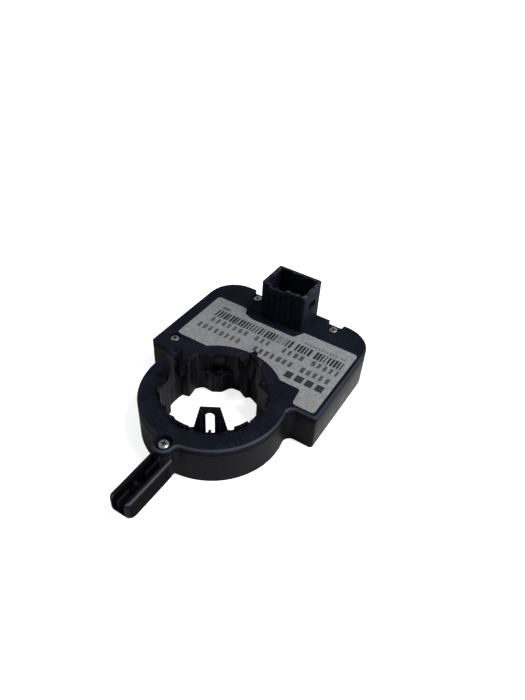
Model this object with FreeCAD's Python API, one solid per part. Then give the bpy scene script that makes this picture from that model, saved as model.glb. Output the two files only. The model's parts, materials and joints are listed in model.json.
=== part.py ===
import FreeCAD, Part
import math
import os

# Steering angle sensor with a geared hub, a connector shroud and a locating arm.
# Millimetres. Z is up and is zero at the underside of the case.
# X and Y are zero on the axis of the hub, which turns with the steering shaft.
# Y points from the hub to the connector.

V = FreeCAD.Vector
UP = V(0, 0, 1)

# Case, outside
case_height = 19.5
case_width = 88.8
case_front = 11.2
case_back = 74.9
ring_radius = 32.8
back_corner_radius = 15.5
front_corner_radius = 1.5
ring_blend_radius = 3.5
boss_radius = 4.9
boss_reach = 34.0
boss_blend_radius = 2.5
top_edge_chamfer = 0.8

# Case, inside
wall = 1.8
floor_thickness = 1.8
cover_depth = 3.0
cover_plate = 2.0
bore_radius = 24.27
bore_land = 1.8
land_gap = 0.3

# Hub
running_gap = 0.07
hub_wall_top = 1.0
hub_wall_bottom = 2.0
hub_lift = 0.2
hub_proud = 1.8

# Gears
gear_low_share = 0.12
gear_module = 0.8
hub_teeth = 66
left_teeth = 28
right_teeth = 26
gear_centre_play = 0.08
tooth_backlash = 0.14
small_gear_angle_left = 115.0
small_gear_angle_right = 65.0
gear_face_margin = 0.3
small_gear_boss_radius = 4.2
small_gear_boss_step = 0.9
pressure_angle = 20.0
flank_steps = 1

# Clip tabs of the hub, three in all, with their legs inside the bore
tab_angles = (-58.5, 61.5, 181.0)
tab_height = 11.4
tab_top_width = 8.1
tab_base_width = 15.2
tab_thickness = 1.6
tab_inset = 3.6
tab_slot_width = 3.7
tab_slot_roof = 2.0
tab_base_depth = 4.0
tab_slit_left = 0.1
tab_slit_right = 1.2
nose_reach = 1.3
nose_lip = 0.8
nose_height = 2.8
nose_side_gap = 0.3
leg_near_angle = 12.0
leg_ridge_angles = (17.3, 20.5)
leg_far_angle = 36.0
leg_insets = {-1: 3.7, 1: 2.6}
leg_rises = (-2.5, 1.5, 1.5)
nub_width = 1.2
nub_reach = 0.6
nub_height = 1.1

# Drive keys of the hub, each with a notch in the collar above it
key_angles = (121.5, 1.5, -118.5)
key_notch_angle = 20.0
key_inset = 3.9
key_height = 10.4
key_flat_angle = 5.0
key_flank_angle = 20.0
ledge_inset = 1.8
ledge_angle = 9.5
ledge_fall = 2.5
ledge_thickness = 1.5

# Posts and magnets
post_radius = 1.5
post_shoulder_radius = 3.0
post_gap = 0.05
post_roof = 1.0
shoulder_gap = 0.2
magnet_radius = 3.0
magnet_depth = 1.2
magnet_proud = 0.4

# Circuit board
board_room_share = 0.28
board_thickness = 1.6
board_margin = 0.6
board_front = 25.5
board_hub_gap = 1.0
board_post_gap = 0.6
support_length = 3.0
support_width = 2.4

# Screws
screw_radius = 1.1
screw_head_radius = 2.45
screw_head_height = 1.5
screw_head_sink = 0.5
screw_length = 11.0
screw_recess_gap = 0.35
boss_recess_gap = 1.1
screw_clearance = 0.3
screw_post_half = 2.9
cover_post_half = 3.8
pilot_depth = 1.0
front_screw_side = 8.0
front_screw_inset = 7.8
back_screw_inset = 5.8
back_screw_left = -21.2
back_screw_right = 23.4

# Notches in the cover's back edge
notch_left = (-25.5, -17.6)
notch_right = (18.7, 26.9)
notch_depth = 3.7
notch_corner = 1.2

# Connector shroud and pins
shroud_left = -12.3
shroud_right = 11.5
shroud_depth = 17.9
shroud_height = 20.4
shroud_wall = 1.5
shroud_corner = 1.2
shroud_rim_dip = 1.6
shroud_dip_x = (-7.2, 1.2)
window_width = 6.8
window_inset = 5.6
window_low = 9.4
window_high = 13.4
groove_first = -7.6
groove_pitch = 3.2
groove_count = 5
groove_width = 1.1
groove_depth = 0.4
groove_top_gap = 2.0
key_rib_first = -4.6
key_rib_pitch = 6.4
key_rib_count = 2
key_rib_width = 1.2
key_rib_reach = 1.3
pin_columns = 3
pin_pitch_x = 5.0
pin_rows = 2
pin_pitch_y = 4.6
pin_width = 1.0
pin_thickness = 0.8
pin_top = 9.0
pin_tail = 0.6
pin_tip = 0.25
pin_hole_gap = 0.1
header_top = 2.5
header_side_gap = 0.15

# Arm
arm_half_width = 5.1
arm_depth = 10.8
arm_drop = 2.4
arm_length = 23.3
arm_wall = 2.1
arm_channel_depth = 7.0
arm_belly_rise = 1.0
arm_belly_half = 1.5
arm_belly_shift = 1.2
arm_edge_radius = 1.5
arm_foot_radii = {-1: 4.2, 1: 2.2}
arm_middle = 0.7
arm_end_radius = 1.9
arm_rib_half = 0.3
arm_rib_drop = 0.1
arm_rib_near_length = 7.6
arm_rib_far_length = 6.4
arm_pip_inset = 10.2
arm_pip_radius = 0.9
arm_pip_height = 6.6

# Label
label_thickness = 0.2
label_left_margin = 6.9
label_right_margin = 2.2
label_back = 57.4
label_front = 22.3
label_low = 13.0
label_foot_width = 10.5
label_foot_slope = 1.2
label_arc_radius = 30.0
label_notch = ((-20.1, 57.4), (-18.6, 53.4), (-14.0, 51.6), (10.4, 51.6), (13.4, 57.4))
label_corner = 1.6

# Chips on the board
chip_gap = 0.6
angle_chip_height = 0.9
angle_chip_size = (4.9, 3.9)
controller_place = (-22.0, 50.0)
controller_size = (10.0, 10.0)
controller_height = 1.5
transceiver_place = (21.0, 60.0)
transceiver_size = (4.9, 3.9)
transceiver_height = 1.5
regulator_inset = 17.2
regulator_place_y = 50.0
regulator_size = (6.5, 6.0)
regulator_height = 2.2
crystal_size = (3.2, 2.5)
crystal_place_y = 52.0
crystal_height = 0.9
capacitor_size = (7.2, 4.3)
capacitor_height = 2.8
capacitor_input_place = (-24.0, 59.5)
capacitor_output_place_y = 56.0
side_part_margin = 3.0
chip_lead_width = 0.5
chip_lead_reach = 1.0
chip_lead_thickness = 0.25
chip_lead_inset = 0.4
chip_stand = 0.1

# Values that follow from the ones above
half_width = case_width / 2
cover_bottom = case_height - cover_depth
hub_outer = bore_radius - running_gap
hub_inner_top = hub_outer - hub_wall_top
hub_inner_bottom = hub_outer - hub_wall_bottom
hub_root = hub_outer - hub_wall_top / 2
hub_top = case_height + hub_proud
inner_height = case_height - cover_plate - floor_thickness
gear_low = floor_thickness + gear_low_share * inner_height
board_top = case_height - cover_plate - board_room_share * inner_height
board_bottom = board_top - board_thickness
small_gear_top = board_bottom - angle_chip_height - chip_gap - magnet_proud
small_gear_high = small_gear_top - small_gear_boss_step
small_gear_low = gear_low + gear_face_margin
small_gear_foot = small_gear_low - small_gear_boss_step
gear_high = small_gear_high + gear_face_margin
hub_pitch_radius = gear_module * hub_teeth / 2
shroud_front = case_back - shroud_depth
shroud_top = case_height + shroud_height
arm_top = cover_bottom - arm_drop
arm_bottom = arm_top - arm_depth
arm_floor_top = arm_top - arm_channel_depth
arm_root = -boss_reach
arm_end = -boss_reach - boss_radius - arm_length
shoulder_room = half_width - math.sqrt(ring_radius ** 2 - case_front ** 2)
screw_places = {
    "front_left": (front_screw_side - half_width, case_front + front_screw_inset),
    "back_left": (back_screw_left, case_back - back_screw_inset),
    "back_right": (back_screw_right, case_back - back_screw_inset),
    "front_right": (half_width - front_screw_side, case_front + front_screw_inset),
    "arm": (0.0, -boss_reach),
}
cover_screws = [name for name in screw_places if name != "arm"]


def radians(degrees):
    return degrees * math.pi / 180


def polar(radius, degrees, z=0.0):
    angle = radians(degrees)
    return V(radius * math.cos(angle), radius * math.sin(angle), z)


def cylinder(radius, low, high, x=0.0, y=0.0):
    return Part.makeCylinder(radius, high - low, V(x, y, low))


def box(x_range, y_range, z_range):
    size = [pair[1] - pair[0] for pair in (x_range, y_range, z_range)]
    return Part.makeBox(size[0], size[1], size[2], V(x_range[0], y_range[0], z_range[0]))


def prism(face, low, high):
    moved = face.copy()
    moved.translate(V(0, 0, low))
    return moved.extrude(V(0, 0, high - low))


def polygon_face(points, z=0.0):
    corners = [V(point[0], point[1], z) for point in points]
    return Part.Face(Part.makePolygon(corners + [corners[0]]))


def turned(shape, degrees):
    copy = shape.copy()
    copy.rotate(V(0, 0, 0), UP, degrees)
    return copy


def upright_edges(shape, places, reach=0.4):
    found = []
    for edge in shape.Edges:
        if len(edge.Vertexes) != 2:
            continue
        first = edge.Vertexes[0].Point
        second = edge.Vertexes[1].Point
        if abs(first.x - second.x) > 1e-4 or abs(first.y - second.y) > 1e-4:
            continue
        for place in places:
            if math.hypot(first.x - place[0], first.y - place[1]) < reach:
                found.append(edge)
                break
    return found


def edges_at_height(shape, z):
    found = []
    for edge in shape.Edges:
        bounds = edge.BoundBox
        if abs(bounds.ZMin - z) < 1e-4 and abs(bounds.ZMax - z) < 1e-4:
            found.append(edge)
    return found


def arc_edge(centre, start, end):
    chord = V((start.x + end.x) / 2 - centre.x, (start.y + end.y) / 2 - centre.y, 0)
    radius = math.hypot(start.x - centre.x, start.y - centre.y)
    reach = radius / chord.Length
    middle = V(centre.x + chord.x * reach, centre.y + chord.y * reach, 0)
    return Part.Arc(start, middle, end).toShape()


def boss_edges(radius, inset):
    boss = boss_radius - inset
    cove = boss_blend_radius + inset
    far = radius + cove
    near = boss + cove
    cove_y = -(far ** 2 - near ** 2 + boss_reach ** 2) / (2 * boss_reach)
    cove_x = math.sqrt(far ** 2 - cove_y ** 2)
    side_x = cove_x * boss / near
    side_y = -boss_reach + (cove_y + boss_reach) * boss / near
    tip = V(0, -boss_reach - boss, 0)
    edges = [Part.Arc(V(-side_x, side_y, 0), tip, V(side_x, side_y, 0)).toShape()]
    for side in (1, -1):
        start = V(side * side_x, side_y, 0)
        end = V(side * cove_x * radius / far, cove_y * radius / far, 0)
        edges.append(arc_edge(V(side * cove_x, cove_y, 0), start, end))
    return edges, V(cove_x * radius / far, cove_y * radius / far, 0)


def case_outline(inset=0.0, with_boss=True):
    radius = ring_radius - inset
    front = case_front + inset
    back = case_back - inset
    half = half_width - inset
    blend = min(ring_blend_radius, 0.35 * shoulder_room) + inset
    corner = back_corner_radius - inset
    nose = max(min(front_corner_radius, 0.2 * shoulder_room) - inset, 0.2)
    blend_y = front - blend
    blend_x = math.sqrt((radius + blend) ** 2 - blend_y ** 2)
    touch = radius / (radius + blend)
    high = V(blend_x * touch, blend_y * touch, 0)
    edges = [Part.makeLine(V(half - corner, back, 0), V(corner - half, back, 0))]
    if with_boss:
        more, low = boss_edges(radius, inset)
        edges += more
    else:
        edges.append(Part.Arc(V(-high.x, high.y, 0), V(0, -radius, 0), high).toShape())
    for side in (1, -1):
        blend_centre = V(side * blend_x, blend_y, 0)
        ring_high = V(side * high.x, high.y, 0)
        wall_start = V(side * blend_x, front, 0)
        nose_start = V(side * (half - nose), front, 0)
        nose_end = V(side * half, front + nose, 0)
        nose_centre = V(side * (half - nose), front + nose, 0)
        corner_start = V(side * half, back - corner, 0)
        corner_end = V(side * (half - corner), back, 0)
        corner_centre = V(side * (half - corner), back - corner, 0)
        if with_boss:
            edges.append(arc_edge(V(0, 0, 0), V(side * low.x, low.y, 0), ring_high))
        edges.append(arc_edge(blend_centre, ring_high, wall_start))
        edges.append(Part.makeLine(wall_start, nose_start))
        edges.append(arc_edge(nose_centre, nose_start, nose_end))
        edges.append(Part.makeLine(nose_end, corner_start))
        edges.append(arc_edge(corner_centre, corner_start, corner_end))
    return Part.Face(Part.Wire(Part.__sortEdges__(edges)))


def gear_centre(teeth, degrees):
    reach = hub_pitch_radius + gear_module * teeth / 2 + gear_centre_play
    return polar(reach, degrees)


def tooth_outline(teeth, backlash):
    pitch = gear_module * teeth / 2
    tip = pitch + gear_module
    root = pitch - 1.25 * gear_module
    base = pitch * math.cos(radians(pressure_angle))
    roll = math.tan(radians(pressure_angle)) - radians(pressure_angle)
    half = math.pi / (2 * teeth) - backlash / (2 * pitch)
    start = max(base, root)
    flank = []
    for step in range(flank_steps + 1):
        radius = start + (tip - start) * step / flank_steps
        angle = math.acos(min(1.0, base / radius))
        flank.append((radius, half + roll - (math.tan(angle) - angle)))
    if root < start:
        flank.insert(0, (root, flank[0][1]))
    return flank


def gear_face(teeth, centre, first_tooth):
    flank = tooth_outline(teeth, tooth_backlash)
    points = []
    for tooth in range(teeth):
        middle = radians(first_tooth) + 2 * math.pi * tooth / teeth
        for radius, half in flank:
            points.append((radius, middle - half))
        for radius, half in reversed(flank):
            points.append((radius, middle + half))
    places = [(centre.x + r * math.cos(a), centre.y + r * math.sin(a)) for r, a in points]
    return polygon_face(places)


def mesh_angle(teeth, degrees):
    step = 360.0 / hub_teeth
    ahead = (round(degrees / step) * step - degrees) * hub_teeth / teeth
    return degrees + 180 - ahead + 180.0 / teeth


def screw_columns(radius, low, high, names):
    return [cylinder(radius, low, high, *screw_places[name]) for name in names]


def screw_posts(half, low, high):
    posts = []
    for name in cover_screws:
        x, y = screw_places[name]
        posts.append(box((x - half, x + half), (y - half, y + half), (low, high)))
    return posts


def arm_body():
    half = arm_half_width
    body = box((-half, half), (arm_end, arm_root), (arm_bottom, arm_top))
    long_edges = [edge for edge in edges_at_height(body, arm_top) if edge.BoundBox.XLength < 1e-4]
    body = body.makeFillet(arm_edge_radius, long_edges)
    for side, radius in arm_foot_radii.items():
        foot = [edge for edge in edges_at_height(body, arm_bottom) if abs(edge.BoundBox.XMin - side * half) < 1e-4]
        body = body.makeFillet(radius, foot)
    ends = box((-half, half), (arm_end, arm_root), (arm_bottom - 1, arm_top + 1))
    ends = ends.makeFillet(arm_end_radius, upright_edges(ends, [(-half, arm_end), (half, arm_end)]))
    return body.common(ends)


def arm_belly():
    radius = (arm_belly_half ** 2 + arm_belly_rise ** 2) / (2 * arm_belly_rise)
    centre_z = arm_bottom + arm_belly_rise - radius
    start = arm_end - 1
    return Part.makeCylinder(radius, arm_length + 1, V(arm_belly_shift, start, centre_z), V(0, 1, 0))


def arm():
    inner = arm_half_width - arm_wall
    mouth = -boss_reach - boss_radius
    channel = box((-inner, inner), (arm_end - 1, arm_root + 1), (arm_floor_top, arm_top + 1))
    body = arm_body().cut([channel, arm_belly()])
    rib_x = (-arm_rib_half, arm_rib_half)
    rib_z = (arm_floor_top, arm_top - arm_rib_drop)
    near = (mouth - arm_rib_near_length, arm_root)
    far = (arm_end + arm_rib_half, arm_end + arm_rib_half + arm_rib_far_length)
    ribs = [box(rib_x, span, rib_z) for span in (near, far)]
    pip_top = arm_floor_top + arm_pip_height
    pip = cylinder(arm_pip_radius, arm_floor_top, pip_top, 0, arm_end + arm_pip_inset)
    return body.fuse(ribs + [pip]).translated(V(arm_middle, 0, 0))


def gear_posts():
    posts = []
    for teeth, degrees in small_gears():
        centre = gear_centre(teeth, degrees)
        shoulder = small_gear_foot - shoulder_gap
        posts.append(cylinder(post_shoulder_radius, 0, shoulder, centre.x, centre.y))
        post_top = small_gear_top - magnet_depth - post_roof - shoulder_gap
        posts.append(cylinder(post_radius, 0, post_top, centre.x, centre.y))
    return posts


def board_supports():
    side_low = half_width - wall - support_length
    side_y = (case_back - back_corner_radius - support_width, case_back - back_corner_radius)
    middle = (shroud_left + shroud_right) / 2
    back_x = (middle - support_width / 2, middle + support_width / 2)
    z_range = (0, board_bottom)
    supports = [box((side_low, half_width - wall), side_y, z_range)]
    supports.append(box((wall - half_width, -side_low), side_y, z_range))
    supports.append(box(back_x, (case_back - wall - support_length, case_back - wall), z_range))
    return supports


def housing_base():
    body = prism(case_outline(0.0, False), 0, arm_bottom)
    body = body.fuse(prism(case_outline(), arm_bottom, cover_bottom))
    body = body.cut(prism(case_outline(wall, False), floor_thickness, cover_bottom + 1))
    land_top = gear_low - land_gap
    extras = [cylinder(bore_radius + bore_land, 0, land_top)]
    extras += screw_posts(screw_post_half, 0, cover_bottom)
    extras += gear_posts()
    extras += board_supports()
    arm_shape = arm().cut(cylinder(ring_radius - wall, 0, cover_bottom))
    body = body.fuse(extras).fuse(arm_shape)
    body = body.cut(cylinder(bore_radius, -1, land_top + 1))
    pilot_low = case_height - screw_head_sink - screw_head_height - screw_length - pilot_depth
    pilots = screw_columns(screw_radius, pilot_low, cover_bottom + 1, list(screw_places))
    body = body.cut(pilots)
    return body.removeSplitter()


def small_gears():
    return [(left_teeth, small_gear_angle_left), (right_teeth, small_gear_angle_right)]


def shroud_block(low, high):
    block = box((shroud_left, shroud_right), (shroud_front, case_back), (low, high))
    corners = [(x, y) for x in (shroud_left, shroud_right) for y in (shroud_front, case_back)]
    return block.makeFillet(shroud_corner, upright_edges(block, corners))


def shroud_cavity(low, high):
    x_range = (shroud_left + shroud_wall, shroud_right - shroud_wall)
    y_range = (shroud_front + shroud_wall, case_back - shroud_wall)
    return box(x_range, y_range, (low, high))


def shroud_cuts():
    x_right = (shroud_right - shroud_wall - 0.5, shroud_right + 0.5)
    y_window = (case_back - window_inset - window_width, case_back - window_inset)
    z_window = (case_height + window_low, case_height + window_high)
    cuts = [box(x_right, y_window, z_window)]
    rim = shroud_top - shroud_rim_dip
    y_front = (shroud_front - 1, shroud_front + shroud_wall + 0.2)
    cuts.append(box(shroud_dip_x, y_front, (rim, shroud_top + 1)))
    for index in range(groove_count):
        x = groove_first + groove_pitch * index
        x_range = (x - groove_width / 2, x + groove_width / 2)
        y_range = (shroud_front - 1, shroud_front + groove_depth)
        cuts.append(box(x_range, y_range, (case_height, rim - groove_top_gap)))
    return cuts


def shroud_ribs():
    ribs = []
    for index in range(key_rib_count):
        x = key_rib_first + key_rib_pitch * index
        x_range = (x - key_rib_width / 2, x + key_rib_width / 2)
        near = shroud_front + shroud_wall
        z_range = (case_height, shroud_top - shroud_rim_dip - pin_tip)
        ribs.append(box(x_range, (near, near + key_rib_reach), z_range))
    return ribs


def notch(span):
    z_range = (cover_bottom - 1, case_height + 1)
    floor = case_back - notch_depth
    shape = box(span, (floor, case_back + notch_depth), z_range)
    corners = [(span[0], floor), (span[1], floor)]
    return shape.makeFillet(notch_corner, upright_edges(shape, corners))


def cover_shell():
    body = prism(case_outline(), cover_bottom, case_height)
    body = body.makeChamfer(top_edge_chamfer, edges_at_height(body, case_height))
    hollow = prism(case_outline(wall, False), cover_bottom - 1, case_height - cover_plate)
    hollow = hollow.cut(screw_posts(cover_post_half, cover_bottom - 1, case_height))
    return body.cut(hollow)


def screw_recesses():
    low = case_height - screw_head_sink - screw_head_height
    radius = screw_head_radius + screw_recess_gap
    arm_radius = screw_head_radius + boss_recess_gap
    recesses = screw_columns(radius, low, case_height + 1, cover_screws)
    recesses += screw_columns(arm_radius, low, case_height + 1, ["arm"])
    hole_radius = screw_radius + screw_clearance
    return recesses + screw_columns(hole_radius, cover_bottom - 1, case_height, list(screw_places))


def top_cover():
    land = cylinder(bore_radius + bore_land, gear_high + land_gap, case_height - cover_plate)
    block = shroud_block(case_height - cover_plate, shroud_top)
    body = cover_shell().fuse([land, block])
    body = body.cut(shroud_cavity(cover_bottom - 1, shroud_top + 1))
    body = body.cut(shroud_cuts())
    body = body.fuse(shroud_ribs())
    body = body.cut(cylinder(bore_radius, 0, case_height + 1))
    body = body.cut([notch(notch_left), notch(notch_right)])
    return body.cut(screw_recesses()).removeSplitter()


def sector(inner, start, end, low, high):
    steps = 4
    span = (end - start) / steps
    outside = [polar(hub_outer * 1.05, start + span * step) for step in range(steps + 1)]
    inside = [polar(inner, end - span * step) for step in range(steps + 1)]
    return prism(polygon_face([(p.x, p.y) for p in outside + inside]), low, high)


def tab_leg(middle, side, rise):
    radius = hub_inner_top - leg_insets[side]
    first, last = leg_ridge_angles
    corners = [polar(hub_root, middle + side * leg_near_angle), polar(radius, middle + side * first)]
    corners.append(polar(radius, middle + side * last))
    corners.append(polar(hub_root, middle + side * leg_far_angle))
    face = polygon_face([(p.x, p.y) for p in corners])
    return prism(face, hub_lift, case_height + rise)


def key_radius(angle):
    share = (abs(angle) - key_flat_angle) / (key_flank_angle - key_flat_angle)
    share = min(max(share, 0.0), 1.0)
    rise = share * share * (3 - 2 * share)
    return hub_inner_bottom - key_inset * (1 - rise)


def drive_key(middle):
    steps = 12
    points = []
    for step in range(steps + 1):
        angle = key_flank_angle * (2.0 * step / steps - 1)
        points.append(polar(key_radius(angle), middle + angle))
    start = polar(hub_root, middle - key_flank_angle)
    end = polar(hub_root, middle + key_flank_angle)
    edges = [Part.Arc(*points[i:i + 3]).toShape() for i in range(0, steps, 2)]
    edges.append(Part.makeLine(points[-1], end))
    edges.append(Part.Arc(end, polar(hub_root, middle), start).toShape())
    edges.append(Part.makeLine(start, points[0]))
    return prism(Part.Face(Part.Wire(edges)), hub_lift, hub_lift + key_height)


def key_ledge(middle):
    lip = hub_inner_top - ledge_inset
    low = case_height - ledge_fall
    corners = [V(hub_root, 0, case_height), V(lip, 0, low), V(lip, 0, low - ledge_thickness)]
    corners.append(V(hub_root, 0, low - 2 * ledge_thickness))
    face = Part.Face(Part.makePolygon(corners + [corners[0]]))
    ledge = face.revolve(V(0, 0, 0), V(0, 0, 1), 2 * ledge_angle)
    return turned(ledge, middle - ledge_angle)


def tab_nose(side):
    start = hub_inner_top - tab_inset + tab_thickness / 2
    face_x = hub_inner_top - tab_inset + tab_thickness
    high = case_height + tab_height
    near = side * (tab_slot_width / 2 + nose_side_gap)
    far = side * tab_top_width / 2
    corners = [V(start, near, high), V(face_x + nose_reach, near, high)]
    corners.append(V(face_x + nose_reach, near, high - nose_lip))
    corners += [V(face_x, near, high - nose_height), V(start, near, high - nose_height)]
    return Part.Face(Part.makePolygon(corners + [corners[0]])).extrude(V(0, far - near, 0))


def clip_tab(middle):
    low = case_height - tab_base_depth
    high = case_height + tab_height
    half_low = tab_base_width / 2
    half_high = tab_top_width / 2
    inner = hub_inner_top - tab_inset
    outline = [V(inner, -half_low, low), V(inner, half_low, low)]
    outline += [V(inner, half_high, high), V(inner, -half_high, high)]
    plate = Part.Face(Part.makePolygon(outline + [outline[0]])).extrude(V(tab_thickness, 0, 0))
    slot_half = tab_slot_width / 2
    slot_centre = high - tab_slot_roof - slot_half
    through = (inner - tab_thickness, inner + 2 * tab_thickness)
    slot = box(through, (-slot_half, slot_half), (low - 1, slot_centre))
    arch = Part.makeCylinder(slot_half, 3 * tab_thickness, V(through[0], 0, slot_centre), V(1, 0, 0))
    plate = plate.cut([slot, arch]).fuse([tab_nose(-1), tab_nose(1)])
    nub_x = (hub_inner_top - nub_reach, hub_outer - running_gap)
    nub_z = (case_height - tab_base_depth, case_height + nub_height)
    nub = box(nub_x, (-nub_width / 2, nub_width / 2), nub_z)
    return turned(plate.fuse(nub), middle)


def tab_slit(middle):
    reach = hub_inner_top - tab_inset + tab_thickness
    left = math.degrees(math.asin((tab_base_width / 2 + tab_slit_left) / reach))
    right = math.degrees(math.asin((tab_base_width / 2 + tab_slit_right) / reach))
    inner = hub_inner_top - tab_inset
    return sector(inner, middle - left, middle + right, case_height, hub_top + 1)


def rotor_hub():
    body = cylinder(hub_outer, hub_lift, hub_top)
    body = body.fuse(prism(gear_face(hub_teeth, V(0, 0, 0), 0.0), gear_low, gear_high))
    height = hub_top - hub_lift
    body = body.cut(Part.makeCone(hub_inner_bottom, hub_inner_top, height, V(0, 0, hub_lift)))
    cuts = [tab_slit(middle) for middle in tab_angles]
    extras = []
    inner = hub_inner_top - tab_inset
    for middle in key_angles:
        start = middle - key_notch_angle
        cuts.append(sector(inner, start, middle + key_notch_angle, case_height, hub_top + 1))
        extras.append(drive_key(middle))
        extras.append(key_ledge(middle))
    body = body.cut(cuts)
    for middle, rise in zip(tab_angles, leg_rises):
        extras.append(clip_tab(middle))
        extras.append(tab_leg(middle, -1, rise))
        extras.append(tab_leg(middle, 1, rise))
    return body.fuse(extras).removeSplitter()


def measuring_gear(teeth, degrees):
    centre = gear_centre(teeth, degrees)
    rim = prism(gear_face(teeth, centre, mesh_angle(teeth, degrees)), small_gear_low, small_gear_high)
    boss = cylinder(small_gear_boss_radius, small_gear_foot, small_gear_top, centre.x, centre.y)
    bore_top = small_gear_top - magnet_depth - post_roof
    bore = cylinder(post_radius + post_gap, small_gear_foot - 1, bore_top, centre.x, centre.y)
    pocket_low = small_gear_top - magnet_depth
    pocket = cylinder(magnet_radius, pocket_low, small_gear_top + 1, centre.x, centre.y)
    return rim.fuse(boss).cut([bore, pocket]).removeSplitter()


def magnet(teeth, degrees):
    centre = gear_centre(teeth, degrees)
    low = small_gear_top - magnet_depth
    body = cylinder(magnet_radius, low, small_gear_top + magnet_proud, centre.x, centre.y)
    return body


def circuit_board():
    half = half_width - wall - board_margin
    corner = back_corner_radius - wall - board_margin
    back = case_back - wall - board_margin
    body = box((-half, half), (board_front, back), (board_bottom, board_top))
    body = body.makeFillet(corner, upright_edges(body, [(-half, back), (half, back)]))
    z_range = (board_bottom - 1, board_top + 1)
    cuts = [cylinder(bore_radius + bore_land + board_hub_gap, *z_range)]
    reach = screw_post_half + board_post_gap
    for name in ("back_left", "back_right"):
        x, y = screw_places[name]
        cuts.append(box((x - reach, x + reach), (y - reach, back + 1), z_range))
    for x, y in pin_places():
        wide = pin_width / 2 + pin_hole_gap
        thick = pin_thickness / 2 + pin_hole_gap
        cuts.append(box((x - wide, x + wide), (y - thick, y + thick), z_range))
    return body.cut(cuts)


def pin_places():
    middle_x = (shroud_left + shroud_right) / 2
    middle_y = (shroud_front + case_back) / 2
    places = []
    for row in range(pin_rows):
        for column in range(pin_columns):
            x = middle_x + (column - (pin_columns - 1) / 2) * pin_pitch_x
            y = middle_y + (row - (pin_rows - 1) / 2) * pin_pitch_y
            places.append((x, y))
    return places


def pin(x, y):
    wide = pin_width / 2
    thick = pin_thickness / 2
    high = case_height + pin_top
    body = box((x - wide, x + wide), (y - thick, y + thick), (board_bottom - pin_tail, high))
    return body.makeChamfer(pin_tip, edges_at_height(body, high))


def pin_header():
    high = case_height + header_top
    cavity = shroud_cavity(board_top, high).BoundBox
    x_range = (cavity.XMin + header_side_gap, cavity.XMax - header_side_gap)
    back = case_back - max(wall, shroud_wall) - header_side_gap
    y_range = (cavity.YMin + key_rib_reach + header_side_gap, back)
    body = box(x_range, y_range, (board_top, high))
    holes = []
    for x, y in pin_places():
        spans = ((x - pin_width / 2, x + pin_width / 2), (y - pin_thickness / 2, y + pin_thickness / 2))
        holes.append(box(spans[0], spans[1], (board_top - 1, high + 1)))
    return body.cut(holes)


def screw(x, y):
    head_top = case_height - screw_head_sink
    head_low = head_top - screw_head_height
    head = cylinder(screw_head_radius, head_low, head_top, x, y)
    shank = cylinder(screw_radius, head_low - screw_length, head_low, x, y)
    return head.fuse(shank).removeSplitter()


def chip(place, size, height, low, leads, below=False):
    x, y = place
    half_x = size[0] / 2
    half_y = size[1] / 2
    if below:
        z_range = (low - height, low - chip_stand)
        lead_z = (low - chip_lead_thickness, low)
    else:
        z_range = (low + chip_stand, low + height)
        lead_z = (low, low + chip_lead_thickness)
    body = box((x - half_x, x + half_x), (y - half_y, y + half_y), z_range)
    bars = []
    pitch = (size[0] - 2 * chip_lead_inset) / (leads - 1)
    for index in range(leads):
        middle = x + (index - (leads - 1) / 2) * pitch
        x_range = (middle - chip_lead_width / 2, middle + chip_lead_width / 2)
        y_range = (y - half_y - chip_lead_reach, y + half_y + chip_lead_reach)
        bars.append(box(x_range, y_range, lead_z))
    return body.fuse(bars)


def block_on_board(corner, size, height):
    x_range = (corner[0], corner[0] + size[0])
    y_range = (corner[1], corner[1] + size[1])
    return box(x_range, y_range, (board_top, board_top + height))


def board_parts():
    side = half_width - wall - side_part_margin
    upright = (capacitor_size[1], capacitor_size[0])
    output_place = (side - upright[0], capacitor_output_place_y)
    regulator_place = (half_width - regulator_inset, regulator_place_y)
    parts = {}
    parts["microcontroller"] = chip(controller_place, controller_size, controller_height, board_top, 8)
    parts["bus_transceiver"] = chip(transceiver_place, transceiver_size, transceiver_height, board_top, 4)
    parts["voltage_regulator"] = chip(regulator_place, regulator_size, regulator_height, board_top, 3)
    parts["clock_crystal"] = block_on_board((-side, crystal_place_y), crystal_size, crystal_height)
    parts["capacitor_input"] = block_on_board(capacitor_input_place, capacitor_size, capacitor_height)
    parts["capacitor_output"] = block_on_board(output_place, upright, capacitor_height)
    return parts


def label():
    left = label_left_margin - half_width
    right = half_width - label_right_margin
    lift = math.degrees(math.asin(label_front / label_arc_radius))
    start = polar(label_arc_radius, 180 - lift)
    middle = polar(label_arc_radius, 90)
    end = polar(label_arc_radius, lift)
    foot_x = right - label_foot_width
    foot = (foot_x - label_foot_slope, label_front)
    around = [(left, label_front), (left, label_back)] + list(label_notch)
    around += [(right, label_back), (right, label_low), (foot_x, label_low), foot]
    points = [start] + [V(x, y, 0) for x, y in around] + [end]
    edges = [Part.makeLine(points[i], points[i + 1]) for i in range(len(points) - 1)]
    edges.append(Part.Arc(end, middle, start).toShape())
    body = prism(Part.Face(Part.Wire(edges)), case_height, case_height + label_thickness)
    sharp = [label_notch[1], label_notch[2]]
    corners = [place for place in around if place not in sharp]
    return body.makeFillet(label_corner, upright_edges(body, corners))


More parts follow.
